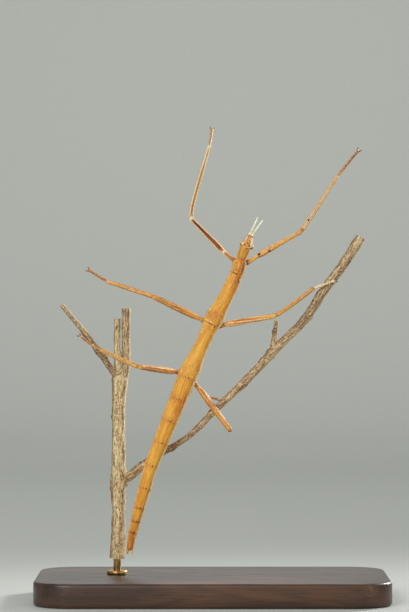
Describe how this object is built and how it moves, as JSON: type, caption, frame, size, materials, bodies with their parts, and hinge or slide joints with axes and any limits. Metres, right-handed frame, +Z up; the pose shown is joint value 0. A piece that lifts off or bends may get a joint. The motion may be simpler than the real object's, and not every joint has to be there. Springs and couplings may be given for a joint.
{
  "type": "stick insect",
  "caption": "Life-size still model of a stick insect gripping a cut forked twig, held upright on a small flat wooden base by a short brass rod.",
  "frame": {"origin": "centre of the base's underside", "axes": "+Z up, the insect's back and the viewer towards -Y, +X to the viewer's right"},
  "size_m": [0.072, 0.04, 0.0971],
  "materials": {
    "cuticle": "horny insect skin, satin, straw orange with fine darker lengthways streaks, brown spots at the joints and pale ridges on the legs",
    "antenna": "pale cream horny feelers, satin",
    "eye": "glossy amber brown beads",
    "bark": "dry grey brown bark with dark specks, pale cut ends",
    "base_wood": "oiled dark hardwood, eased edges",
    "rod_brass": "plain brass rod, satin"
  },
  "bodies": {
    "root": {"head": "cuticle", "eye_left": "eye", "eye_right": "eye", "antenna_left": "antenna", "antenna_right": "antenna", "prothorax": "cuticle", "mesothorax": "cuticle", "metathorax": "cuticle", "abdomen_02": "cuticle", "abdomen_03": "cuticle", "abdomen_04": "cuticle", "abdomen_05": "cuticle", "abdomen_06": "cuticle", "abdomen_07": "cuticle", "abdomen_08": "cuticle", "abdomen_09": "cuticle", "abdomen_10": "cuticle", "operculum": "cuticle", "fore_left_femur": "cuticle", "fore_left_tibia": "cuticle", "fore_left_tarsus": "cuticle", "fore_right_femur": "cuticle", "fore_right_tibia": "cuticle", "fore_right_tarsus": "cuticle", "middle_left_femur": "cuticle", "middle_left_tibia": "cuticle", "middle_left_tarsus": "cuticle", "middle_right_femur": "cuticle", "middle_right_tibia": "cuticle", "middle_right_tarsus": "cuticle", "hind_left_femur": "cuticle", "hind_left_tibia": "cuticle", "hind_left_tarsus": "cuticle", "hind_right_femur": "cuticle", "hind_right_tibia": "cuticle", "hind_right_tarsus": "cuticle", "perch_stem": "bark", "perch_branch": "bark", "perch_twig": "bark", "stand_base": "base_wood", "stand_rod": "rod_brass"}
  },
  "joints": []
}
